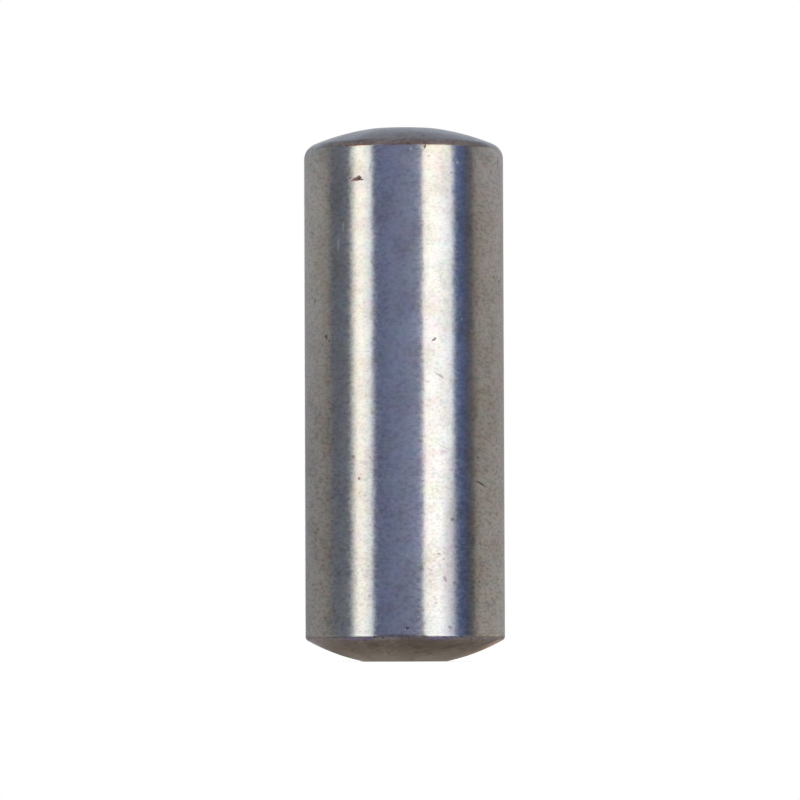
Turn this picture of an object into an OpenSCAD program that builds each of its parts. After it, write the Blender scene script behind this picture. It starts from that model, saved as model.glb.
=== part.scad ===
// Ground steel dowel pin, standing on its foot with +Z along its axis.
// The upper end is a wide crown with a well rounded edge.
// The lower end is a flat foot with a steeper crown round it and a nearly sharp edge.

/* [Shank] */
// Diameter of the ground shank
pin_diameter = 6; // [5:0.5:8]
// Length from the foot to the top
pin_length = 16; // [8:1:60]

/* [Upper end] */
// Radius of the crown on the upper end
top_crown_radius = 7; // [5:0.5:14]
// Width of the small flat in the middle of the upper crown
top_flat_width = 2.2; // [0.6:0.2:3]
// Radius of the rounded edge between the upper crown and the shank
top_edge_radius = 0.48; // [0.1:0.02:0.8]

/* [Lower end] */
// Radius of the crown on the lower end
foot_crown_radius = 6; // [5:0.5:14]
// Width of the flat that the pin stands on
foot_flat_width = 2.5; // [1:0.1:3.2]
// Radius of the nearly sharp edge between the lower crown and the shank
foot_edge_radius = 0.15; // [0.05:0.05:0.8]

/* [Hidden] */
$fn = 180;
pin_radius = pin_diameter / 2;
mid_height = pin_length / 2;

// Half of the pin's outline from the middle of the shank to one end, where the
// end is at the given reach. The edge circle touches both the shank and the crown.
module end_outline(reach, crown_radius, flat_width, edge_radius) {
    crown_centre = reach - sqrt(pow(crown_radius, 2) - pow(flat_width / 2, 2));
    edge_centre_x = pin_radius - edge_radius;
    edge_rise = sqrt(pow(crown_radius - edge_radius, 2) - pow(edge_centre_x, 2));
    edge_centre_y = crown_centre + edge_rise;
    touch_x = edge_centre_x * crown_radius / (crown_radius - edge_radius);
    square([pin_radius, edge_centre_y]);
    translate([edge_centre_x, edge_centre_y]) circle(r = edge_radius);
    intersection() {
        square([touch_x, reach]);
        translate([0, crown_centre]) circle(r = crown_radius);
    }
}

// The whole outline from the foot to the top, on one side of the axis
module pin_outline() {
    translate([0, mid_height]) {
        end_outline(mid_height, top_crown_radius, top_flat_width, top_edge_radius);
        mirror([0, 1]) {
            end_outline(mid_height, foot_crown_radius, foot_flat_width, foot_edge_radius);
        }
    }
}

// The pin is one solid, turned and ground from one bar
module dowel_pin() {
    color([0.56, 0.57, 0.6])
        rotate_extrude()
            pin_outline();
}

dowel_pin();
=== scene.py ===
# Hardened steel dowel pin standing on its flat foot, with a plain white studio round it
import math
import bpy
import numpy as np
from mathutils import Matrix, Vector


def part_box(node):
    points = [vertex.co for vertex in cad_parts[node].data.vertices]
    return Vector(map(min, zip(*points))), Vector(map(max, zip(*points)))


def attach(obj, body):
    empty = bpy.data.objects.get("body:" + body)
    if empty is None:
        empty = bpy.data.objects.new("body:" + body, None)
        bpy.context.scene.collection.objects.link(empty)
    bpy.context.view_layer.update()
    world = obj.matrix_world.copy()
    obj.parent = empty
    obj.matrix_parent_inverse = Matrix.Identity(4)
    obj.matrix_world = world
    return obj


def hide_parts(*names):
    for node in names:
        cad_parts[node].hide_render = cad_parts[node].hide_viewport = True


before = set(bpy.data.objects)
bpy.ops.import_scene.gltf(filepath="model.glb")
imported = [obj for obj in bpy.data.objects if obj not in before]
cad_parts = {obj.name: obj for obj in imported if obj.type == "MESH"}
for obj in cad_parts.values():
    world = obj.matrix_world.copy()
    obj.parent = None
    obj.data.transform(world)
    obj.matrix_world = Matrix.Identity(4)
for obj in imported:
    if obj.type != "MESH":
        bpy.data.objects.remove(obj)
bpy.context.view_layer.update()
mm = 0.001
print("dowel pin: frame loaded")


# a hex colour in screen values, turned to the linear value that shaders want
def hexToLinear(code):
    values = [int(code[i:i + 2], 16) / 255 for i in (1, 3, 5)]
    linear = [v / 12.92 if v <= 0.04045 else ((v + 0.055) / 1.055) ** 2.4 for v in values]
    return (*linear, 1.0)


# adds a node: settings are its own properties, inputs take a value or another node's socket
def addNode(tree, kind, inputs=None, stops=None, **settings):
    node = tree.nodes.new(kind)
    for name, value in settings.items():
        setattr(node, name, value)
    for place, (at, shade) in enumerate(stops or []):
        elements = node.color_ramp.elements
        element = elements[place] if place < 2 else elements.new(at)
        element.position = at
        element.color = hexToLinear(shade) if isinstance(shade, str) else (shade, shade, shade, 1)
    for socket, value in (inputs or {}).items():
        if isinstance(value, bpy.types.NodeSocket):
            tree.links.new(value, node.inputs[socket])
        else:
            node.inputs[socket].default_value = value
    return node


def newMaterial(name):
    material = bpy.data.materials.new(name)
    material.use_nodes = True
    material.node_tree.nodes.clear()
    return material, material.node_tree


def newObject(name, vertices, faces):
    mesh = bpy.data.meshes.new(name)
    mesh.from_pydata(vertices, [], faces)
    item = bpy.data.objects.new(name, mesh)
    bpy.context.collection.objects.link(item)
    return item


# colour along a length: the value is in metres and the places of the tones are in mm
def tonesAlong(tree, value, tones):
    farthest = tones[-1][0]
    share = addNode(tree, "ShaderNodeMath", {0: value, 1: 1 / (farthest * mm)},
                    operation="MULTIPLY")
    return addNode(tree, "ShaderNodeValToRGB", {"Fac": share.outputs[0]},
                   stops=[(at / farthest, tone) for at, tone in tones])


# 1 for the rays that metal mirrors or glass lets through, 0 for all others
def mirroredRays(tree, path):
    return addNode(tree, "ShaderNodeMath", {0: path.outputs["Is Glossy Ray"],
                                            1: path.outputs["Is Transmission Ray"]},
                   operation="MAXIMUM")


# Form of the pin in mm, the same as the solid's. Length and diameter come from the frame.
pinForm = {
    "topCrownRadius": 7.0,
    "topFlatWidth": 2.2,
    "topEdgeRadius": 0.48,
    "footCrownRadius": 6.0,
    "footFlatWidth": 2.5,
    "footEdgeRadius": 0.15,
    "columnStep": 0.105,     # widest cell round the pin
    "rowStep": 0.36,         # tallest cell along the shank
    "crownStep": 0.085,      # cells along the crowns
    "edgeStep": 0.035,       # cells along the rounded edges
    "fineStep": 0.016,       # cells at a nick
    "stepGrowth": 0.26,      # how much wider each cell is than the last, away from a nick
}

# Nicks and scratches that are cut into the mesh. Azimuth 0 faces the camera and 90 is to
# its right, height is in mm from the foot. Half length, half width and depth are in mm,
# turn is the long side's angle, and stain is how dark the dirt in it is.
nicks = [
    {"azimuth": -28.2, "height": 14.33, "long": 0.19, "wide": 0.052, "deep": 0.009,
     "turn": 2, "stain": 0.93},
    {"azimuth": -26.4, "height": 14.375, "long": 0.075, "wide": 0.058, "deep": 0.009,
     "turn": 45, "stain": 0.93},
    {"azimuth": 20.6, "height": 8.48, "long": 0.20, "wide": 0.016, "deep": 0.004,
     "turn": -30, "stain": 0.55},
    {"azimuth": 17.1, "height": 9.55, "long": 0.08, "wide": 0.03, "deep": 0.006,
     "turn": 38, "stain": 0.8},
    {"azimuth": 0.9, "height": 0.99, "long": 0.06, "wide": 0.045, "deep": 0.005,
     "turn": 0, "stain": 0.8},
    {"azimuth": -50.8, "height": 9.69, "long": 0.06, "wide": 0.055, "deep": 0.008,
     "turn": 60, "stain": 0.8},
    {"azimuth": 48.9, "height": 5.29, "long": 0.24, "wide": 0.028, "deep": 0.006,
     "turn": -21, "stain": 0.95},
    {"azimuth": 12.0, "height": 15.29, "long": 0.06, "wide": 0.045, "deep": 0.006,
     "turn": 80, "stain": 0.8},
    {"azimuth": 79.0, "height": 0.70, "long": 0.16, "wide": 0.05, "deep": 0.035,
     "turn": 4, "stain": 0.1},
]

# Marks with no depth, drawn by the material: dirt and stains, a few dark marks that are
# painted shade, and where stain is below 0 small rubs painted near white as glints or sheen.
# The same terms as for the nicks, and turn is 0 where it is left out.
marks = [
    {"azimuth": -24.6, "height": 14.33, "long": 0.07, "wide": 0.03, "turn": -12, "stain": 0.5},
    {"azimuth": -19.4, "height": 14.66, "long": 0.14, "wide": 0.05, "turn": 70, "stain": 0.25},
    {"azimuth": -18.5, "height": 11.86, "long": 0.06, "wide": 0.06, "stain": 0.4},
    {"azimuth": -18.4, "height": 7.38, "long": 0.07, "wide": 0.06, "turn": 60, "stain": 0.4},
    {"azimuth": -30.8, "height": 6.08, "long": 0.08, "wide": 0.065, "stain": 0.6},
    {"azimuth": -19.9, "height": 6.06, "long": 0.045, "wide": 0.04, "stain": 0.4},
    {"azimuth": -20.6, "height": 1.96, "long": 0.06, "wide": 0.06, "stain": 0.3},
    {"azimuth": -40.9, "height": 2.62, "long": 0.08, "wide": 0.06, "stain": 0.35},
    {"azimuth": -62.6, "height": 10.77, "long": 0.10, "wide": 0.05, "turn": 40, "stain": 0.6},
    {"azimuth": -68.3, "height": 14.88, "long": 0.16, "wide": 0.03, "turn": 25, "stain": 0.6},
    {"azimuth": 10.0, "height": 15.12, "long": 0.09, "wide": 0.045, "turn": 60, "stain": 0.3},
    {"azimuth": 14.5, "height": 15.00, "long": 0.06, "wide": 0.04, "turn": -15, "stain": 0.4},
    {"azimuth": 13.1, "height": 8.30, "long": 0.11, "wide": 0.022, "turn": -23, "stain": 0.25},
    {"azimuth": 22.4, "height": 6.37, "long": 0.28, "wide": 0.022, "turn": -23, "stain": 0.2},
    {"azimuth": 28.2, "height": 14.53, "long": 0.06, "wide": 0.045, "turn": 20, "stain": 0.4},
    {"azimuth": 31.5, "height": 9.15, "long": 0.07, "wide": 0.05, "turn": 30, "stain": 0.5},
    {"azimuth": 28.0, "height": 4.22, "long": 0.08, "wide": 0.05, "stain": 0.5},
    {"azimuth": 19.8, "height": 3.18, "long": 0.07, "wide": 0.04, "turn": -10, "stain": 0.5},
    {"azimuth": 22.3, "height": 3.05, "long": 0.06, "wide": 0.035, "stain": 0.3},
    {"azimuth": 14.8, "height": 2.70, "long": 0.07, "wide": 0.03, "turn": -25, "stain": 0.35},
    {"azimuth": 23.3, "height": 2.44, "long": 0.12, "wide": 0.06, "turn": -60, "stain": 0.4},
    {"azimuth": 17.8, "height": 1.74, "long": 0.05, "wide": 0.03, "stain": 0.35},
    {"azimuth": 26.5, "height": 1.01, "long": 0.07, "wide": 0.05, "turn": -30, "stain": 0.35},
    {"azimuth": 49.2, "height": 5.09, "long": 0.05, "wide": 0.04, "stain": 0.6},
    {"azimuth": 63.4, "height": 11.48, "long": 0.10, "wide": 0.055, "turn": 20, "stain": 0.6},
    {"azimuth": 68.3, "height": 11.49, "long": 0.06, "wide": 0.04, "stain": 0.5},
    {"azimuth": 71.8, "height": 11.36, "long": 0.13, "wide": 0.055, "turn": 20, "stain": 0.6},
    {"azimuth": 70.0, "height": 14.90, "long": 0.20, "wide": 0.07, "turn": 88, "stain": 0.45},
    # painted shade: a darker, rougher stretch along the lower shank, which dims the mirrored right
    # band there
    {"azimuth": 27.5, "height": 2.90, "long": 3.30, "wide": 0.34, "turn": 90, "stain": 0.28},
    # painted shade: the dark rim between the ground shank and the foot, in the middle
    {"azimuth": -4.0, "height": 0.79, "long": 0.80, "wide": 0.05, "stain": 0.35},
    # blotches on the crowned foot
    {"azimuth": -21.5, "height": 0.48, "long": 0.30, "wide": 0.09, "turn": 6, "stain": 0.4},
    {"azimuth": 8.4, "height": 0.42, "long": 0.20, "wide": 0.08, "turn": -5, "stain": 0.35},
    {"azimuth": 34.0, "height": 0.46, "long": 0.50, "wide": 0.08, "turn": 9, "stain": 0.45},
    {"azimuth": 62.0, "height": 0.56, "long": 0.50, "wide": 0.035, "turn": 19, "stain": 0.7},
    # painted sheen: the lower edge made lighter on both sides
    {"azimuth": 62.0, "height": 0.765, "long": 0.45, "wide": 0.06, "stain": -0.22},
    {"azimuth": 40.0, "height": 0.755, "long": 0.35, "wide": 0.05, "stain": -0.12},
    {"azimuth": -52.0, "height": 0.765, "long": 0.70, "wide": 0.05, "stain": -0.1},
    # small rubbed spots, painted near white as glints
    {"azimuth": -37.0, "height": 12.95, "long": 0.26, "wide": 0.03, "turn": 86, "stain": -0.4},
    {"azimuth": -40.6, "height": 12.42, "long": 0.28, "wide": 0.032, "turn": 88, "stain": -0.6},
    {"azimuth": -65.0, "height": 7.62, "long": 0.15, "wide": 0.05, "turn": 88, "stain": -0.25},
    {"azimuth": 4.1, "height": 15.22, "long": 0.035, "wide": 0.05, "stain": -0.6},
    {"azimuth": 32.2, "height": 14.82, "long": 0.05, "wide": 0.06, "stain": -0.5},
    {"azimuth": 34.8, "height": 10.18, "long": 0.035, "wide": 0.035, "stain": -0.7},
    {"azimuth": 42.0, "height": 9.81, "long": 0.04, "wide": 0.035, "stain": -0.5},
    {"azimuth": 7.3, "height": 1.32, "long": 0.03, "wide": 0.03, "stain": -0.6},
    {"azimuth": 1.4, "height": 3.13, "long": 0.03, "wide": 0.03, "stain": -0.6},
]


# outline points (x, z, normal x, normal z) of one end, from its middle to the shank
def endOutline(form, end, reach, pinRadius):
    crownRadius = form[end + "CrownRadius"]
    edgeRadius = form[end + "EdgeRadius"]
    flatHalf = form[end + "FlatWidth"] / 2
    crownCentre = reach - math.sqrt(crownRadius ** 2 - flatHalf ** 2)
    edgeX = pinRadius - edgeRadius
    edgeZ = crownCentre + math.sqrt((crownRadius - edgeRadius) ** 2 - edgeX ** 2)
    touchAngle = math.atan2(edgeZ - crownCentre, edgeX)
    flatAngle = math.acos(flatHalf / crownRadius)
    flatCells = math.ceil(flatHalf / (2 * form["crownStep"]))
    points = [(flatHalf * i / flatCells, reach, 0.0, 1.0) for i in range(flatCells)]
    arcs = [(0, crownCentre, crownRadius, flatAngle, touchAngle, form["crownStep"]),
            (edgeX, edgeZ, edgeRadius, touchAngle, 0, form["edgeStep"])]
    for centreX, centreZ, radius, angleFrom, angleTo, step in arcs:
        cells = max(6, math.ceil((angleFrom - angleTo) * radius / step))
        for i in range(cells):
            angle = angleFrom + (angleTo - angleFrom) * i / cells
            points.append((centreX + radius * math.cos(angle), centreZ + radius * math.sin(angle),
                           math.cos(angle), math.sin(angle)))
    points.append((pinRadius, edgeZ, 1.0, 0.0))
    return points


# places from start to end, close together near each (centre, reach) and wider away from it
def spreadPlaces(start, end, widest, form, centres):
    places = [start]
    while places[-1] < end:
        gap = min(max(0.0, abs(places[-1] - centre) - reach) for centre, reach in centres)
        places.append(places[-1] + min(widest, form["fineStep"] + form["stepGrowth"] * gap))
    squeeze = (end - start) / (places[-1] - start)
    return [start + (place - start) * squeeze for place in places]


def pinOutline(form, length, pinRadius, nicks):
    middle = length / 2
    foot = [(x, middle - z, nx, -nz) for x, z, nx, nz in endOutline(form, "foot", middle, pinRadius)]
    top = [(x, middle + z, nx, nz) for x, z, nx, nz in endOutline(form, "top", middle, pinRadius)]
    heights = [(nick["height"], nick["long"] * abs(math.sin(math.radians(nick["turn"])))
                + nick["wide"]) for nick in nicks]
    shank = spreadPlaces(foot[-1][1], top[-1][1], form["rowStep"], form, heights)
    return np.array(foot + [(pinRadius, z, 1.0, 0.0) for z in shank[1:-1]] + top[::-1])


# depth and stain of all nicks together at places round (mm of arc) and along the outline
def nickDepth(around, along, nicks, outline, lengths, pinRadius):
    ragged = 0.16          # how far the rim strays, as a share of the nick's half width
    finelyRagged = 0.09
    burr = 0.14            # height of the burr round a nick, as a share of its depth
    burrAt = 1.25          # where the burr stands, in half widths from the nick's middle
    burrWidth = 0.22
    stainTo = 1.2          # the dirt ends here, also in half widths
    stainFade = 0.5
    depth = np.zeros(np.broadcast(around, along).shape)
    stain = np.zeros_like(depth)
    for order, nick in enumerate(nicks):
        turn = math.radians(nick["turn"])
        right = around - math.radians(nick["azimuth"]) * pinRadius
        up = along - np.interp(nick["height"], outline[:, 1], lengths)
        longSide = (right * math.cos(turn) + up * math.sin(turn)) / nick["long"]
        wideSide = (up * math.cos(turn) - right * math.sin(turn)) / nick["wide"]
        bearing = np.arctan2(wideSide, longSide)
        uneven = (1 + ragged * np.sin(3 * bearing + order)
                  + finelyRagged * np.sin(5 * bearing + 2 * order))
        distance = np.hypot(longSide, wideSide) * uneven
        bowl = np.clip(1 - distance ** 2, 0, 1) ** 0.8
        lip = burr * np.exp(-((distance - burrAt) / burrWidth) ** 2)
        depth += nick["deep"] * (bowl - lip)
        dirt = np.clip((stainTo - distance) / stainFade, 0, 1)
        stain = np.maximum(stain, nick["stain"] * dirt)
    return depth, stain


# faces between the rings of vertices, closed by a fan at the foot and one at the top
def gridFaces(rings, columns):
    last = rings * columns + 1
    faces = []
    for column in range(columns):
        after = (column + 1) % columns
        faces.append((0, 1 + after, 1 + column))
        faces.append((last, last - columns + column, last - columns + after))
    for ring in range(rings - 1):
        base = 1 + ring * columns
        for column in range(columns):
            after = (column + 1) % columns
            faces.append((base + column, base + after,
                          base + columns + after, base + columns + column))
    return faces


def buildPin(form, nicks, low, high):
    length = (high.z - low.z) / mm
    pinRadius = (high.x - low.x) / 2 / mm
    outline = pinOutline(form, length, pinRadius, nicks)
    lengths = np.concatenate([[0], np.cumsum(np.hypot(*np.diff(outline[:, :2], axis=0).T))])
    halfRound = math.pi * pinRadius
    turns = [(math.radians(nick["azimuth"]) * pinRadius,
              nick["long"] * abs(math.cos(math.radians(nick["turn"]))) + nick["wide"])
             for nick in nicks]
    around = np.array(spreadPlaces(-halfRound, halfRound, form["columnStep"], form, turns)[:-1])
    x, z, nx, nz = outline[1:-1].T[:, :, None]
    along = lengths[1:-1][:, None]
    bearing = around[None, :] / pinRadius
    step = 0.003           # mm over which a nick's slope is measured
    depth, stain = nickDepth(around, along, nicks, outline, lengths, pinRadius)
    slopes = [(nickDepth(around + du, along + dv, nicks, outline, lengths, pinRadius)[0] - depth)
              / step for du, dv in ((step, 0), (0, step))]
    outward = np.stack([nx * np.sin(bearing), -nx * np.cos(bearing), nz + 0 * bearing], -1)
    sideways = np.stack([np.cos(bearing), np.sin(bearing), 0 * bearing], -1) + 0 * outward
    upward = np.stack([-nz * np.sin(bearing), nz * np.cos(bearing), nx + 0 * bearing], -1)
    places = np.stack([x * np.sin(bearing), -x * np.cos(bearing), z + 0 * bearing], -1)
    places = places - depth[..., None] * outward
    normals = outward + slopes[0][..., None] * sideways + slopes[1][..., None] * upward
    normals /= np.linalg.norm(normals, axis=-1, keepdims=True)

    vertices = [(0, 0, 0), *(places.reshape(-1, 3) * mm).tolist(), (0, 0, length * mm)]
    allNormals = [(0, 0, -1), *normals.reshape(-1, 3).tolist(), (0, 0, 1)]
    faces = gridFaces(len(outline) - 2, len(around))
    pin = newObject("dowelPin", vertices, faces)
    pin.data.polygons.foreach_set("use_smooth", [True] * len(faces))
    pin.data.normals_split_custom_set_from_vertices(allNormals)
    layer = pin.data.attributes.new("nick", "FLOAT", "POINT")
    layer.data.foreach_set("value", [0.0, *stain.ravel().tolist(), 0.0])
    return pin


# Hardened steel, centreless ground along the shank and tumbled at both ends. The ground
# part mirrors its surroundings in soft, slightly ragged bands. The tumbled ends are dull.
# Places and lengths are in mm. Where two are given, something grows from the first to the
# second.
# Some of this colour is painted light: colour fringes and a glint at the ends of the mirrored bands,
# painted shade at the foot's rim and on the lower shank, and painted glints on rubbed spots.
steelFinishAndPaintedLight = {
    "groundColour": "#c2c3c6",
    "groundHandled": "#b1afad",      # where it has been handled and lightly stained
    "endColour": "#a19a95",
    "endStained": "#857c75",
    "endBlotch": "#62524d",
    # the dark marks take the first colour, as dirt in the nicks and as painted shade; the light ones
    # take the second, as painted glints on rubbed spots
    "nickDirtAndShadeColour": "#6b5355",
    "rubAndGlintColour": "#f4f3f0",
    "grain": 0.46,                   # how strongly the grain mottles the colour
    "sideGrain": 0.75,               # the same on the sides, which are more worn
    "sideAt": (1.9, 2.2),            # to either side of the axis
    "lowGrain": 0.14,                # what the lower half has more of it
    "lowAt": (8.5, 4.5),             # heights
    "heatTint": 0.13,                # how strongly heat and oil tint the colour
    "endMottle": 0.75,               # how strongly the dents mottle the ends
    "endBlotches": 0.6,              # strength of the dark blotches on the ends
    "pitStain": 0.35,                # strength of the pits in the grain
    "speckStain": 0.8,               # and of the small specks scattered all over
    "rimStray": 0.08,                # how far the rims of the marks wander, from in to out
    "groundRoughness": (0.13, 0.19),
    "endRoughness": (0.26, 0.40),
    "markRoughness": 0.15,           # what a full mark adds, stain, painted shade or painted glint
    # how many of each pattern's features lie along a mm
    "perMm": {
        "patches": 1.1,
        "blotches": 2.6,             # 0.4 mm across
        "dents": 9.0,                # tumbling peens the ends all over, about 0.1 mm a dent
        "tints": 3.2,                # 0.3 mm across
        "grain": 11.0,               # drawn at 0.1 mm, as the real grain is finer than a pixel
        "specks": 1.6,
        "waves": 2.0,                # slow waves left by the grinding wheel, 0.5 mm
        "grindLines": 24.0,          # 0.04 mm apart
        "border": 2.2,
    },
    "grainStretch": (0.7, 0.35, 1.0),    # draws the tints and the grain out round the pin
    # relief in micrometres
    "grainRelief": 1.2,
    "waveRelief": 5.0,
    "grindRelief": 0.5,
    "dentRelief": 9.0,
    "groundFrom": 0.77,              # height where the ground finish starts
    "groundTo": 15.328,              # and where it stops on the rounded upper edge
    "borderWidth": 0.03,             # over which one finish gives way to the other
    "borderStray": 0.04,             # how far that border wanders, from low to high
    "footRise": 0.045,               # how much higher the foot's darker finish reaches in the middle, as painted shade
    "footRiseAt": (0.88, 0.63),      # to either side of lineMiddle
    # thin painted lines round the pin, at the ends of the mirrored bands: a reddish colour fringe
    # where the upper finish stops, a bluish-white painted glint at the lower edge and a violet
    # colour fringe under it. reach is half a line's width, and middle is how much of it is left
    # halfway between its two ends.
    "lines": [
        {"height": 15.365, "reach": 0.04, "strength": 0.8, "middle": 0.4,
         "colour": "#84544e"},
        {"height": 0.80, "reach": 0.035, "strength": 0.3, "middle": 0.1,
         "colour": "#eaf1fb"},
        {"height": 0.68, "reach": 0.105, "strength": 0.6, "middle": 0.05,
         "colour": "#8480bd"},
    ],
    "lineMiddle": -0.17,             # middle of the lines, to the right of the axis
    "lineStart": (0.63, 1.03),       # to either side of that, where the lines grow whole
    "lineEnd": (1.85, 1.35),         # and where they are gone again, seen from outside
    # faint rust on the crowned foot: it lies to the right, away from the front and the back
    "rust": {"colour": "#e2b18c", "strength": 0.85, "rightAt": (1.4, 2.0),
             "frontAt": (-1.25, -0.7), "backAt": (1.3, 0.2), "heightAt": (0.70, 0.62)},
}


# how much of a mark, stain or painted shade or glint, shows at a spot: all of it in the middle, none
# past the rim
def markStrength(tree, spot, mark, pinRadius):
    bearing = math.radians(mark["azimuth"])
    turned = (Matrix.Rotation(bearing, 3, "Z")
              @ Matrix.Rotation(-math.radians(mark.get("turn", 0)), 3, "Y"))
    middle = (pinRadius * math.sin(bearing), -pinRadius * math.cos(bearing), mark["height"])
    local = addNode(tree, "ShaderNodeMapping", {
        "Vector": spot, "Location": middle, "Rotation": turned.to_euler(),
        "Scale": (mark["long"], 1.0, mark["wide"])}, vector_type="TEXTURE")
    distance = addNode(tree, "ShaderNodeVectorMath", {0: local.outputs[0]},
                       operation="LENGTH")
    return addNode(tree, "ShaderNodeMapRange", {
        "Value": distance.outputs["Value"], "From Min": 1.25, "From Max": 0.3,
        "To Max": mark["stain"]}, interpolation_type="SMOOTHSTEP")


# how much of the tumbled finish shows: all of it on the ends, none on the ground shank
def endShare(tree, finish, height, fromMiddle):
    above = addNode(tree, "ShaderNodeMapRange", {
        "Value": height.outputs[0], "From Min": finish["groundTo"],
        "From Max": finish["groundTo"] + finish["borderWidth"]}, interpolation_type="SMOOTHSTEP")
    # the foot's darker finish reaches higher in the middle, as painted shade along the rim there
    riseFrom, riseTo = finish["footRiseAt"]
    sunk = addNode(tree, "ShaderNodeMapRange", {
        "Value": fromMiddle.outputs[0], "From Min": riseFrom, "From Max": riseTo,
        "To Max": -finish["footRise"]}, interpolation_type="SMOOTHSTEP")
    footHeight = addNode(tree, "ShaderNodeMath", {0: height.outputs[0], 1: sunk.outputs[0]})
    below = addNode(tree, "ShaderNodeMapRange", {
        "Value": footHeight.outputs[0], "From Min": finish["groundFrom"],
        "From Max": finish["groundFrom"] - finish["borderWidth"]},
        interpolation_type="SMOOTHSTEP")
    return addNode(tree, "ShaderNodeMath", {0: above.outputs[0], 1: below.outputs[0]},
                   operation="MAXIMUM")


# the ground shank: light handling marks, faint heat and oil tints and the abrasive's grain
def shankColour(tree, finish, axes, patches, tints, grain):
    handled = addNode(tree, "ShaderNodeValToRGB", {"Fac": patches.outputs["Fac"]}, stops=[
        (0.42, finish["groundColour"]), (0.72, finish["groundHandled"])])
    tinted = addNode(tree, "ShaderNodeMix", {"Factor": finish["heatTint"],
                                             "A": handled.outputs["Color"],
                                             "B": tints.outputs["Color"]},
                     data_type="RGBA", blend_type="OVERLAY")
    sideways = addNode(tree, "ShaderNodeMath", {0: axes.outputs["X"]}, operation="ABSOLUTE")
    sideFrom, sideTo = finish["sideAt"]
    wear = addNode(tree, "ShaderNodeMapRange", {
        "Value": sideways.outputs[0], "From Min": sideFrom, "From Max": sideTo,
        "To Min": finish["grain"], "To Max": finish["sideGrain"]},
        interpolation_type="SMOOTHSTEP")
    lowFrom, lowTo = finish["lowAt"]
    lowHalf = addNode(tree, "ShaderNodeMapRange", {
        "Value": axes.outputs["Z"], "From Min": lowFrom, "From Max": lowTo,
        "To Max": finish["lowGrain"]}, interpolation_type="SMOOTHSTEP")
    worn = addNode(tree, "ShaderNodeMath", {0: wear.outputs[0], 1: lowHalf.outputs[0]})
    return addNode(tree, "ShaderNodeMix", {"Factor": worn.outputs[0], "A": tinted.outputs[2],
                                           "B": grain.outputs["Fac"]},
                   data_type="RGBA", blend_type="OVERLAY")


# the tumbled ends: darker patches, the mottle of the dents and dark blotches
def endColour(tree, finish, patches, dents, blotches):
    stained = addNode(tree, "ShaderNodeValToRGB", {"Fac": patches.outputs["Fac"]}, stops=[
        (0.40, finish["endColour"]), (0.68, finish["endStained"])])
    pocked = addNode(tree, "ShaderNodeMix", {"Factor": finish["endMottle"],
                                             "A": stained.outputs["Color"],
                                             "B": dents.outputs["Fac"]},
                     data_type="RGBA", blend_type="OVERLAY")
    dark = addNode(tree, "ShaderNodeMapRange", {
        "Value": blotches.outputs["Fac"], "From Min": 0.54, "From Max": 0.70,
        "To Max": finish["endBlotches"]}, interpolation_type="SMOOTHSTEP")
    return addNode(tree, "ShaderNodeMix", {"Factor": dark.outputs[0], "A": pocked.outputs[2],
                                           "B": hexToLinear(finish["endBlotch"])},
                   data_type="RGBA")


# patchy rust over a colour, where all four of its limits let it show
def withRust(tree, rust, axes, height, blotches, under):
    limits = [(axes.outputs["X"], "rightAt"), (axes.outputs["Y"], "frontAt"),
              (axes.outputs["Y"], "backAt"), (height.outputs[0], "heightAt")]
    patchy = addNode(tree, "ShaderNodeMapRange", {
        "Value": blotches.outputs["Fac"], "From Min": 0.38, "From Max": 0.60,
        "To Min": 0.35 * rust["strength"], "To Max": rust["strength"]})
    share = patchy.outputs[0]
    for along, limit in limits:
        growsFrom, growsTo = rust[limit]
        inside = addNode(tree, "ShaderNodeMapRange", {
            "Value": along, "From Min": growsFrom, "From Max": growsTo},
            interpolation_type="SMOOTHSTEP")
        both = addNode(tree, "ShaderNodeMath", {0: share, 1: inside.outputs[0]},
                       operation="MULTIPLY")
        share = both.outputs[0]
    return addNode(tree, "ShaderNodeMix", {"Factor": share, "A": under.outputs[2],
                                           "B": hexToLinear(rust["colour"])},
                   data_type="RGBA")


# the painted fringes and glint fade in and out along their way round, and show most to either
# side of the middle, where the bright bands are mirrored
def withPaintedBandEdges(tree, finish, height, fromMiddle, wander, under):
    patchy = addNode(tree, "ShaderNodeMapRange", {
        "Value": wander.outputs["Fac"], "From Min": 0.40, "From Max": 0.58, "To Min": 0.5})
    goneAt, wholeTo = finish["lineEnd"]
    ending = addNode(tree, "ShaderNodeMapRange", {
        "Value": fromMiddle.outputs[0], "From Min": goneAt, "From Max": wholeTo,
        "To Min": 0.05}, interpolation_type="SMOOTHSTEP")
    broken = addNode(tree, "ShaderNodeMath", {0: patchy.outputs[0], 1: ending.outputs[0]},
                     operation="MULTIPLY")
    middleTo, wholeFrom = finish["lineStart"]
    for line in finish["lines"]:
        gap = addNode(tree, "ShaderNodeMath", {0: height.outputs[0], 1: line["height"]},
                      operation="SUBTRACT")
        reach = addNode(tree, "ShaderNodeMath", {0: gap.outputs[0]}, operation="ABSOLUTE")
        whole = addNode(tree, "ShaderNodeMapRange", {
            "Value": reach.outputs[0], "From Min": line["reach"], "From Max": 0,
            "To Max": line["strength"]}, interpolation_type="SMOOTHSTEP")
        hollow = addNode(tree, "ShaderNodeMapRange", {
            "Value": fromMiddle.outputs[0], "From Min": middleTo, "From Max": wholeFrom,
            "To Min": line["middle"]}, interpolation_type="SMOOTHSTEP")
        parted = addNode(tree, "ShaderNodeMath", {0: whole.outputs[0], 1: hollow.outputs[0]},
                         operation="MULTIPLY")
        shown = addNode(tree, "ShaderNodeMath", {0: parted.outputs[0], 1: broken.outputs[0]},
                        operation="MULTIPLY")
        under = addNode(tree, "ShaderNodeMix", {"Factor": shown.outputs[0],
                                                "A": under.outputs[2],
                                                "B": hexToLinear(line["colour"])},
                        data_type="RGBA")
    return under
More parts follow.
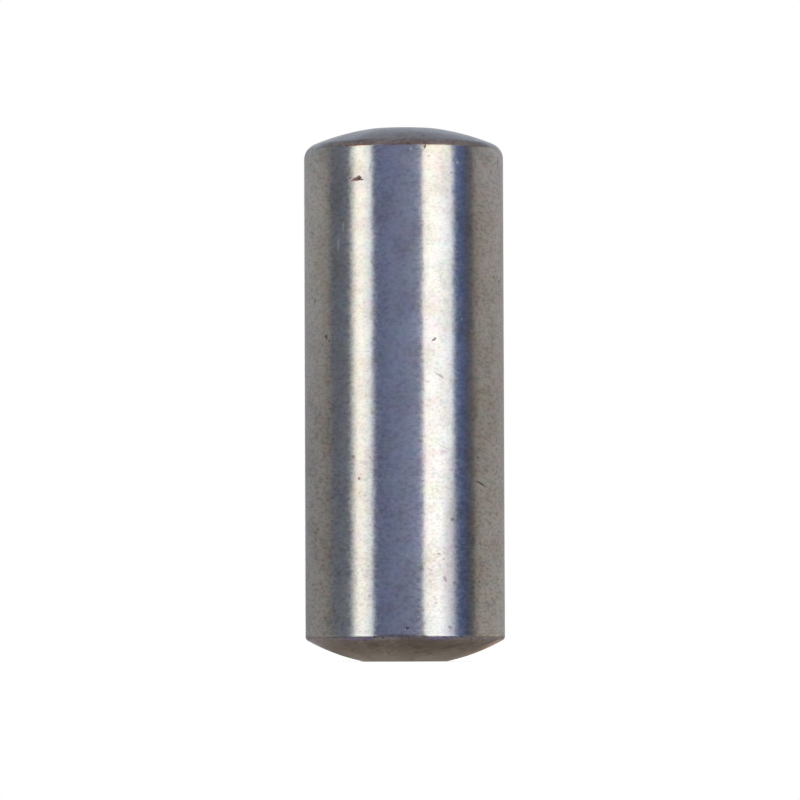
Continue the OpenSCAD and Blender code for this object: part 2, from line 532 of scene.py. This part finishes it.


# dirt, rubs and painted light added up: nicks, pits in the grain, scattered specks and the marks,
# some of which are painted shade or painted glints
def allStainsAndPaintedLight(tree, finish, marks, spot, grain, pinRadius):
    nick = addNode(tree, "ShaderNodeAttribute", attribute_name="nick")
    # a speck is about 0.1 mm across, and lies only where its cell is picked
    cells = addNode(tree, "ShaderNodeTexVoronoi", {"Vector": spot,
                                                   "Scale": finish["perMm"]["specks"]})
    speck = addNode(tree, "ShaderNodeMapRange", {
        "Value": cells.outputs["Distance"], "From Min": 0.10, "From Max": 0.03,
        "To Max": finish["speckStain"]}, interpolation_type="SMOOTHSTEP")
    pick = addNode(tree, "ShaderNodeMapRange", {"Value": cells.outputs["Color"],
                                                "From Min": 0.45, "From Max": 0.75})
    picked = addNode(tree, "ShaderNodeMath", {0: speck.outputs[0], 1: pick.outputs[0],
                                              2: nick.outputs["Fac"]},
                     operation="MULTIPLY_ADD")
    pits = addNode(tree, "ShaderNodeMapRange", {
        "Value": grain.outputs["Fac"], "From Min": 0.58, "From Max": 0.74,
        "To Max": finish["pitStain"]})
    stainsAndPaintedLight = addNode(tree, "ShaderNodeMath", {0: picked.outputs[0], 1: pits.outputs[0]})
    # the marks have ragged rims
    stray = addNode(tree, "ShaderNodeVectorMath", {0: grain.outputs["Color"],
                                                   1: (0.5, 0.5, 0.5)}, operation="SUBTRACT")
    ragged = addNode(tree, "ShaderNodeVectorMath", {0: stray.outputs[0],
                                                    1: (finish["rimStray"],) * 3, 2: spot},
                     operation="MULTIPLY_ADD")
    for mark in marks:
        stain = markStrength(tree, ragged.outputs[0], mark, pinRadius)
        stainsAndPaintedLight = addNode(tree, "ShaderNodeMath", {0: stainsAndPaintedLight.outputs[0], 1: stain.outputs[0]})
    return stainsAndPaintedLight


# dark marks mix in the dirt colour, as dirt or as painted shade; light marks mix in near white, as
# painted glints
def withStainsAndPaintedLight(tree, finish, stainsAndPaintedLight, under):
    dark = addNode(tree, "ShaderNodeMapRange", {"Value": stainsAndPaintedLight.outputs[0]})
    darkened = addNode(tree, "ShaderNodeMix", {"Factor": dark.outputs[0], "A": under.outputs[2],
                                            "B": hexToLinear(finish["nickDirtAndShadeColour"])},
                    data_type="RGBA")
    rubGlintShare = addNode(tree, "ShaderNodeMapRange", {"Value": stainsAndPaintedLight.outputs[0],
                                                 "From Max": -1.0})
    return addNode(tree, "ShaderNodeMix", {"Factor": rubGlintShare.outputs[0], "A": darkened.outputs[2],
                                           "B": hexToLinear(finish["rubAndGlintColour"])},
                   data_type="RGBA")


def steelRoughness(tree, finish, ends, grain, dents, stainsAndPaintedLight):
    ground, tumbled = [
        addNode(tree, "ShaderNodeMapRange", {
            "Value": pattern.outputs["Fac"], "From Min": 0.3, "From Max": 0.7,
            "To Min": smoothest, "To Max": roughest})
        for pattern, (smoothest, roughest) in ((grain, finish["groundRoughness"]),
                                               (dents, finish["endRoughness"]))]
    clean = addNode(tree, "ShaderNodeMix", {"Factor": ends.outputs[0], "A": ground.outputs[0],
                                            "B": tumbled.outputs[0]})
    # dirt, rubs and the painted marks alike scatter the light
    marked = addNode(tree, "ShaderNodeMath", {0: stainsAndPaintedLight.outputs[0]}, operation="ABSOLUTE")
    return addNode(tree, "ShaderNodeMath", {0: marked.outputs[0], 1: finish["markRoughness"],
                                            2: clean.outputs[0]}, operation="MULTIPLY_ADD")


# relief too fine for the mesh: grain, waves and grinding lines on the shank, dents on the ends
def steelRelief(tree, finish, spot, ends, grain, dents):
    perMm = finish["perMm"]
    waves = addNode(tree, "ShaderNodeTexNoise", {"Vector": spot, "Scale": perMm["waves"],
                                                 "Detail": 1.0})
    lineSpot = addNode(tree, "ShaderNodeMapping", {
        "Vector": spot, "Scale": (0.5, 0.5, perMm["grindLines"])})
    lines = addNode(tree, "ShaderNodeTexNoise", {"Vector": lineSpot.outputs[0], "Scale": 1.0,
                                                 "Detail": 2.0})
    ground = 0
    for pattern, height in ((grain, "grainRelief"), (waves, "waveRelief"),
                            (lines, "grindRelief")):
        total = addNode(tree, "ShaderNodeMath", {
            0: pattern.outputs["Fac"], 1: finish[height], 2: ground}, operation="MULTIPLY_ADD")
        ground = total.outputs[0]
    dented = addNode(tree, "ShaderNodeMath", {0: dents.outputs["Fac"],
                                              1: finish["dentRelief"]}, operation="MULTIPLY")
    relief = addNode(tree, "ShaderNodeMix", {"Factor": ends.outputs[0], "A": ground,
                                             "B": dented.outputs[0]})
    return addNode(tree, "ShaderNodeBump", {"Height": relief.outputs[0], "Strength": 1.0,
                                            "Distance": 0.001 * mm})    # a micrometre


def groundSteel(finish, marks, pinRadius):
    material, tree = newMaterial("hardenedSteelGroundAndTumbled")
    place = addNode(tree, "ShaderNodeTexCoord")
    inMm = addNode(tree, "ShaderNodeMapping", {"Vector": place.outputs["Object"],
                                               "Scale": (1 / mm, 1 / mm, 1 / mm)})
    spot = inMm.outputs[0]
    axes = addNode(tree, "ShaderNodeSeparateXYZ", {0: spot})
    stretched = addNode(tree, "ShaderNodeMapping", {"Vector": spot,
                                                    "Scale": finish["grainStretch"]})
    grainSpot = stretched.outputs[0]
    wander, patches, blotches, dents, tints, grain = [
        addNode(tree, "ShaderNodeTexNoise", {
            "Vector": where, "Scale": finish["perMm"][name], "Detail": detail,
            "Roughness": roughness})
        for name, where, detail, roughness in (
            ("border", spot, 4.0, 0.5), ("patches", spot, 6.0, 0.65),
            ("blotches", spot, 4.0, 0.6), ("dents", spot, 5.0, 0.62),
            ("tints", grainSpot, 2.0, 0.5), ("grain", grainSpot, 3.0, 0.65))]

    # height as the wandering border between the finishes sees it
    shift = addNode(tree, "ShaderNodeMath", {0: wander.outputs["Fac"], 1: 0.5},
                    operation="SUBTRACT")
    height = addNode(tree, "ShaderNodeMath", {0: shift.outputs[0], 1: finish["borderStray"],
                                              2: axes.outputs["Z"]}, operation="MULTIPLY_ADD")
    toTheRight = addNode(tree, "ShaderNodeMath", {0: axes.outputs["X"],
                                                  1: finish["lineMiddle"]},
                         operation="SUBTRACT")
    fromMiddle = addNode(tree, "ShaderNodeMath", {0: toTheRight.outputs[0]},
                         operation="ABSOLUTE")

    ends = endShare(tree, finish, height, fromMiddle)
    shank = shankColour(tree, finish, axes, patches, tints, grain)
    tumbled = endColour(tree, finish, patches, dents, blotches)
    rusty = withRust(tree, finish["rust"], axes, height, blotches, tumbled)
    bare = addNode(tree, "ShaderNodeMix", {"Factor": ends.outputs[0], "A": shank.outputs[2],
                                           "B": rusty.outputs[2]}, data_type="RGBA")
    lined = withPaintedBandEdges(tree, finish, height, fromMiddle, wander, bare)
    stainsAndPaintedLight = allStainsAndPaintedLight(tree, finish, marks, spot, grain, pinRadius)
    colour = withStainsAndPaintedLight(tree, finish, stainsAndPaintedLight, lined)
    roughness = steelRoughness(tree, finish, ends, grain, dents, stainsAndPaintedLight)
    bump = steelRelief(tree, finish, spot, ends, grain, dents)
    shader = addNode(tree, "ShaderNodeBsdfPrincipled", {
        "Base Color": colour.outputs[2], "Metallic": 1.0, "Roughness": roughness.outputs[0],
        "Normal": bump.outputs[0]})
    addNode(tree, "ShaderNodeOutputMaterial", {"Surface": shader.outputs[0]})
    return material


pinLow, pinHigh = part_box("dowel_pin")
pin = buildPin(pinForm, nicks, pinLow, pinHigh)
pin.data.materials.append(groundSteel(steelFinishAndPaintedLight, marks, pinHigh.x / mm))
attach(pin, "root")
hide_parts("dowel_pin")
triangles = sum(len(face.vertices) - 2 for face in pin.data.polygons)
print("dowel pin: pin built with", triangles, "triangles")

# Pale floor: matte white paper, lifted to white where it is seen, and it keeps the shadow
floorPaper = {
    "halfWidth": 300,    # mm, as all its places are
    "drop": 0.002,       # below the foot, so that the two never share a plane
    "colour": "#cfcecc",
    "lift": 0.55,
    "fadeFrom": 50,      # from the pin's axis, where the paper starts to run into the white
    "fadeTo": 100,
    # painted shade: tones of the paper in the metal, at distances from the axis: shaded under the
    # foot and darker out to 14 mm
    "mirrored": [(1.4, "#b2aaa0"), (2.3, "#948c83"), (3.0, "#aca5a2"), (3.6, "#bcbac2"),
                 (5.5, "#97969f"), (14, "#8a8893"), (50, "#d8d8d6"), (100, "#ffffff")],
    "behind": 1.5,       # painted light: how much brighter the metal mirrors the floor behind the pin
    "behindFrom": 1.4,
    "behindTo": 2.6,
}


# lit paper that runs into white away from the pin, as the camera sees it
def seenPaper(tree, paper, seen, distance):
    lift = addNode(tree, "ShaderNodeMath", {0: seen, 1: paper["lift"]}, operation="MULTIPLY")
    matte = addNode(tree, "ShaderNodeBsdfDiffuse", {"Color": hexToLinear(paper["colour"])})
    glow = addNode(tree, "ShaderNodeEmission", {"Strength": lift.outputs[0]})
    near = addNode(tree, "ShaderNodeAddShader", {0: matte.outputs[0], 1: glow.outputs[0]})
    away = addNode(tree, "ShaderNodeMapRange", {
        "Value": distance, "From Min": paper["fadeFrom"] * mm,
        "From Max": paper["fadeTo"] * mm}, interpolation_type="SMOOTHSTEP")
    faded = addNode(tree, "ShaderNodeMath", {0: away.outputs[0], 1: seen},
                    operation="MULTIPLY")
    white = addNode(tree, "ShaderNodeEmission", {"Strength": 1.0})
    return addNode(tree, "ShaderNodeMixShader", {0: faded.outputs[0], 1: near.outputs[0],
                                                 2: white.outputs[0]})


# the paper as the metal mirrors it, with painted shade near the pin and painted light behind it
def mirroredPaper(tree, paper, spot, distance):
    tones = tonesAlong(tree, distance, paper["mirrored"])
    axes = addNode(tree, "ShaderNodeSeparateXYZ", {0: spot})
    behind = addNode(tree, "ShaderNodeMapRange", {
        "Value": axes.outputs["Y"], "From Min": paper["behindFrom"] * mm,
        "From Max": paper["behindTo"] * mm, "To Min": 1.0, "To Max": paper["behind"]},
        interpolation_type="SMOOTHSTEP")
    return addNode(tree, "ShaderNodeEmission", {"Color": tones.outputs["Color"],
                                                "Strength": behind.outputs[0]})


def matteWhitePaper(paper):
    material, tree = newMaterial("matteWhitePaper")
    path = addNode(tree, "ShaderNodeLightPath")
    mirrored = mirroredRays(tree, path)
    place = addNode(tree, "ShaderNodeTexCoord")
    spot = place.outputs["Object"]
    distance = addNode(tree, "ShaderNodeVectorMath", {0: spot}, operation="LENGTH")
    plain = seenPaper(tree, paper, path.outputs["Is Camera Ray"], distance.outputs["Value"])
    inMetal = mirroredPaper(tree, paper, spot, distance.outputs["Value"])
    whole = addNode(tree, "ShaderNodeMixShader", {0: mirrored.outputs[0], 1: plain.outputs[0],
                                                  2: inMetal.outputs[0]})
    addNode(tree, "ShaderNodeOutputMaterial", {"Surface": whole.outputs[0]})
    return material


def buildFloor(paper):
    half, low = paper["halfWidth"] * mm, -paper["drop"] * mm
    floor = newObject("floor", [(-half, -half, low), (half, -half, low), (half, half, low),
                                (-half, half, low)], [(0, 1, 2, 3)])
    floor.data.materials.append(matteWhitePaper(paper))


buildFloor(floorPaper)

# Cards and strip lights that the polished shank mirrors. Each stands round the pin as a
# curved wall with a foot that runs in along the floor, and leans outwards higher up, so
# that its reflection stays upright over the pin's rounded edge. from, to and the places of
# the shades say where the camera sees them in the pin: -1 is its left edge, 1 its right.
# byHeight holds a card's tones at heights in mm, which its shades are multiplied by.
cardPlace = {
    "radius": 32.0,        # mm from the pin's axis
    "footInner": 4.0,      # mm from the axis, where the foot of a card starts
    "footHeight": 0.03,
    "pinRadius": 3.0,
    "pinTop": 15.2,        # mm, where the pin's upper edge starts to round
    "topTilt": 31.5,       # degrees of surface tilt at which the cards stop being mirrored
    "viewRise": 4.4,       # degrees, from the camera up to the pin's top
    "rows": 7,
    "columnStep": 1.5,     # degrees round the pin
}
cards = [
    {"name": "leftStrip", "from": -0.547, "to": -0.301, "softLeft": 0.076,
     "softRight": 0.038, "radius": 29.5, "footInner": 14.0, "level": 2.26,
     "byHeight": [(0, "#e5f1f4"), (0.9, "#e5f1f4"), (1.05, "#fffff5"), (1.3, "#fffff5"),
                  (1.8, "#e3e2e3"), (6.5, "#e3e3e3"), (8.5, "#ebebeb")],
     "shades": [(-0.54, "#fffaf2"), (-0.48, "#fff8e7"), (-0.42, "#fff8e7"),
                (-0.37, "#e7e7e2"), (-0.30, "#e2e6e8")]},
    {"name": "rightStrip", "from": 0.179, "to": 0.510, "softLeft": 0.016,
     "softRight": 0.045, "radius": 29.5, "footInner": 14.0, "level": 2.32,
     "byHeight": [(0, "#e6f5fa"), (0.9, "#e6f5fa"), (1.05, "#fdf0ea"), (1.3, "#fdf0ea"),
                  (1.8, "#e6e6e6"), (5, "#ebebeb"), (16, "#ebebeb"), (17.5, "#e9e4d8")],
     "shades": [(0.18, "#fff9f0"), (0.22, "#fff9ee"), (0.34, "#fcf8f0"), (0.43, "#eae9e7"),
                (0.52, "#dadce2")]},
    {"name": "slateCard", "from": -0.44, "to": 0.34, "level": 1.0,
     "byHeight": [(0, "#f2f2f2"), (3, "#ffffff")],
     "shades": [(-0.30, "#6d7699"), (-0.22, "#79809f"), (-0.10, "#8b92b0"), (0, "#9097b2"),
                (0.16, "#a0a6c3")]},
    {"name": "navyCard", "from": 0.34, "to": 0.687, "level": 1.3,
     "byHeight": [(0, "#fffaf0"), (0.4, "#cfd0d0"), (7, "#e3e3e3")],
     "shades": [(0.50, "#6c80ab"), (0.585, "#5f6d94"), (0.605, "#5d647f"),
                (0.625, "#5f6375"), (0.67, "#706e6c")]},
    {"name": "darkCard", "from": -0.747, "to": -0.435, "level": 1.25,
     "byHeight": [(0, "#ffffff"), (0.4, "#e7e7e7"), (1, "#e7e7e7")],
     "shades": [(-0.742, "#8f8b86"), (-0.712, "#777a82"), (-0.66, "#777b84"),
                (-0.57, "#7b7f88")]},
    {"name": "rightCard", "from": 0.687, "to": 0.998, "level": 1.4,
     "byHeight": [(0, "#ffffff"), (0.4, "#e3e3e4"), (9, "#d8d8d8"), (15, "#e4e4e5"),
                  (19, "#e6e9f2")],
     "shades": [(0.69, "#948a81"), (0.75, "#b0a79d"), (0.94, "#b3aca4"), (0.99, "#a6a2a0")]},
    {"name": "leftCard", "from": -0.998, "to": -0.747, "level": 1.0,
     "byHeight": [(0, "#f8f8f8"), (0.4, "#e4e4e4"), (7, "#e4e4e4"), (14, "#ffffff"),
                  (16.5, "#ffffff"), (19, "#eff7ff")],
     "shades": [(-0.99, "#a5a3a4"), (-0.94, "#b2afad"), (-0.84, "#b3aca4"),
                (-0.75, "#a09b94")]},
]


# the point on a card wall that is seen in the pin at this place across it, where the
# pin's surface is tilted up by so many radians
def mirroredPoint(across, tilt, radius, place):
    turn = math.asin(across)
    rise = math.radians(place["viewRise"])
    level = Vector((math.sin(turn), -math.cos(turn), 0))
    normal = level * math.cos(tilt) + Vector((0, 0, math.sin(tilt)))
    ray = Vector((0, math.cos(rise), math.sin(rise))).reflect(normal)
    start = level * place["pinRadius"] + Vector((0, 0, place["pinTop"]))
    flat = ray.xy.length_squared
    nearest = -start.xy.dot(ray.xy) / flat
    reach = nearest + math.sqrt(nearest ** 2 + (radius ** 2 - start.xy.length_squared) / flat)
    return start + ray * reach


# a card's own light: its shades across, times its tones by height, with faded sides if soft
def cardLight(card):
    material, tree = newMaterial(card["name"])
    width = card["to"] - card["from"]
    across = addNode(tree, "ShaderNodeAttribute", attribute_name="across")
    shade = addNode(tree, "ShaderNodeValToRGB", {"Fac": across.outputs["Fac"]}, stops=[
        (max(0, (at - card["from"]) / width), code) for at, code in card["shades"]])
    spot = addNode(tree, "ShaderNodeTexCoord")
    axes = addNode(tree, "ShaderNodeSeparateXYZ", {0: spot.outputs["Object"]})
    tone = tonesAlong(tree, axes.outputs["Z"], card["byHeight"])
    toned = addNode(tree, "ShaderNodeMix", {"Factor": 1.0, "A": shade.outputs["Color"],
                                            "B": tone.outputs["Color"]},
                    data_type="RGBA", blend_type="MULTIPLY")
    surface = addNode(tree, "ShaderNodeEmission", {"Color": toned.outputs[2],
                                                   "Strength": card["level"]})
    if "softLeft" in card:
        fade = addNode(tree, "ShaderNodeValToRGB", {"Fac": across.outputs["Fac"]}, stops=[
            (0, 0.0), (card["softLeft"] / width, 1.0), (1 - card["softRight"] / width, 1.0),
            (1, 0.0)])
        clear = addNode(tree, "ShaderNodeBsdfTransparent")
        surface = addNode(tree, "ShaderNodeMixShader", {
            0: fade.outputs["Color"], 1: clear.outputs[0], 2: surface.outputs[0]})
    addNode(tree, "ShaderNodeOutputMaterial", {"Surface": surface.outputs[0]})
    return material


def buildCard(card, place):
    radius = card.get("radius", place["radius"])
    footInner = card.get("footInner", place["footInner"])
    first, last = math.asin(card["from"]), math.asin(card["to"])
    steps = math.ceil(math.degrees(last - first) / place["columnStep"])
    acrosses = [math.sin(first + (last - first) * step / steps) for step in range(steps + 1)]
    walls = [[mirroredPoint(across, math.radians(place["topTilt"]) * row / place["rows"],
                            radius, place) for across in acrosses]
             for row in range(place["rows"] + 1)]
    foot = [[mirroredPoint(across, 0, reach, place) for across in acrosses]
            for reach in (footInner, radius)]
    rows = [[Vector((*point.xy, place["footHeight"])) for point in row] for row in foot] + walls
    vertices = [point * mm for row in rows for point in row]
    faces = []
    for row in range(len(rows) - 1):
        for step in range(steps):
            corner = row * (steps + 1) + step
            faces.append((corner, corner + 1, corner + steps + 2, corner + steps + 1))
    item = newObject(card["name"], vertices, faces)
    item.visible_camera = False      # the cards stand out of the picture
    item.visible_diffuse = False
    item.visible_shadow = False
    width = card["to"] - card["from"]
    shares = [(across - card["from"]) / width for across in acrosses] * len(rows)
    layer = item.data.attributes.new("across", "FLOAT", "POINT")
    layer.data.foreach_set("value", shares)
    item.data.materials.append(cardLight(card))


for card in cards:
    buildCard(card, cardPlace)

# White all round. What the metal mirrors is white up to a backdrop's height, then a dim room.
# The backdrop stands a little higher on the left.
surroundings = {
    "shades": [(0.0, "#ffffff"), (0.20, "#f8fbff"), (0.38, "#dfeeff"), (0.49, "#c6d9f6"),
               (0.57, "#959dad"), (0.63, "#81838d"), (0.72, "#a1a0a8"), (1.0, "#aea9b4")],
    "lean": 0.12,
    "diffuseLevel": 0.75,
}


def buildWorld(around):
    world = bpy.data.worlds.new("whiteStudio")
    world.use_nodes = True
    tree = world.node_tree
    tree.nodes.clear()
    path = addNode(tree, "ShaderNodeLightPath")
    place = addNode(tree, "ShaderNodeTexCoord")
    axes = addNode(tree, "ShaderNodeSeparateXYZ", {0: place.outputs["Generated"]})
    rise = addNode(tree, "ShaderNodeMath", {0: axes.outputs["X"], 1: around["lean"],
                                            2: axes.outputs["Z"]}, operation="MULTIPLY_ADD")
    room = addNode(tree, "ShaderNodeValToRGB", {"Fac": rise.outputs[0]},
                   stops=around["shades"])
    mirrored = mirroredRays(tree, path)
    level = around["diffuseLevel"]
    lit = addNode(tree, "ShaderNodeMix", {"Factor": mirrored.outputs[0],
                                          "A": (level, level, level, 1),
                                          "B": room.outputs["Color"]}, data_type="RGBA")
    seen = addNode(tree, "ShaderNodeMix", {"Factor": path.outputs["Is Camera Ray"],
                                           "A": lit.outputs[2], "B": (1, 1, 1, 1)},
                   data_type="RGBA")
    back = addNode(tree, "ShaderNodeBackground", {"Color": seen.outputs[2], "Strength": 1.0})
    addNode(tree, "ShaderNodeOutputWorld", {"Surface": back.outputs[0]})
    bpy.context.scene.world = world


buildWorld(surroundings)

# One wide soft box overhead gives the floor its soft shadow. Mm, and watts.
softBox = {"size": 300, "forward": 50, "height": 350, "power": 0.35}


def addSoftBox(box):
    lamp = bpy.data.lights.new("overheadSoftBox", "AREA")
    lamp.size = box["size"] * mm
    lamp.energy = box["power"]
    item = bpy.data.objects.new("overheadSoftBox", lamp)
    item.location = (0, -box["forward"] * mm, box["height"] * mm)
    item.visible_glossy = False      # what the metal mirrors overhead is the dim room
    bpy.context.collection.objects.link(item)


addSoftBox(softBox)
print("dowel pin: studio set")

# The camera stands just above the floor and looks up a little along the pin
cameraPlace = {
    "distance": 200,         # mm in front of the pin
    "height": 0.45,          # mm above the floor
    "sideways": -0.133,      # mm, which puts the pin right of the middle
    "pitch": 2.122,          # degrees up
    "roll": -0.208,          # degrees, which leans the pin's lower end to the right
    "lens": 299.4,           # mm, on a sensor this wide
    "sensor": 36,
    "clip": (5, 5000),       # mm
}


def addCamera(place):
    camera = bpy.data.cameras.new("camera")
    camera.lens = place["lens"]
    camera.sensor_width = place["sensor"]
    camera.clip_start, camera.clip_end = (reach * mm for reach in place["clip"])
    item = bpy.data.objects.new("camera", camera)
    bpy.context.collection.objects.link(item)
    turn = (Matrix.Rotation(math.radians(90 + place["pitch"]), 4, "X")
            @ Matrix.Rotation(math.radians(place["roll"]), 4, "Z"))
    where = (place["sideways"] * mm, -place["distance"] * mm, place["height"] * mm)
    item.matrix_world = Matrix.Translation(where) @ turn
    bpy.context.scene.camera = item


addCamera(cameraPlace)
bpy.context.scene.view_settings.view_transform = "Standard"

print("dowel pin: done")
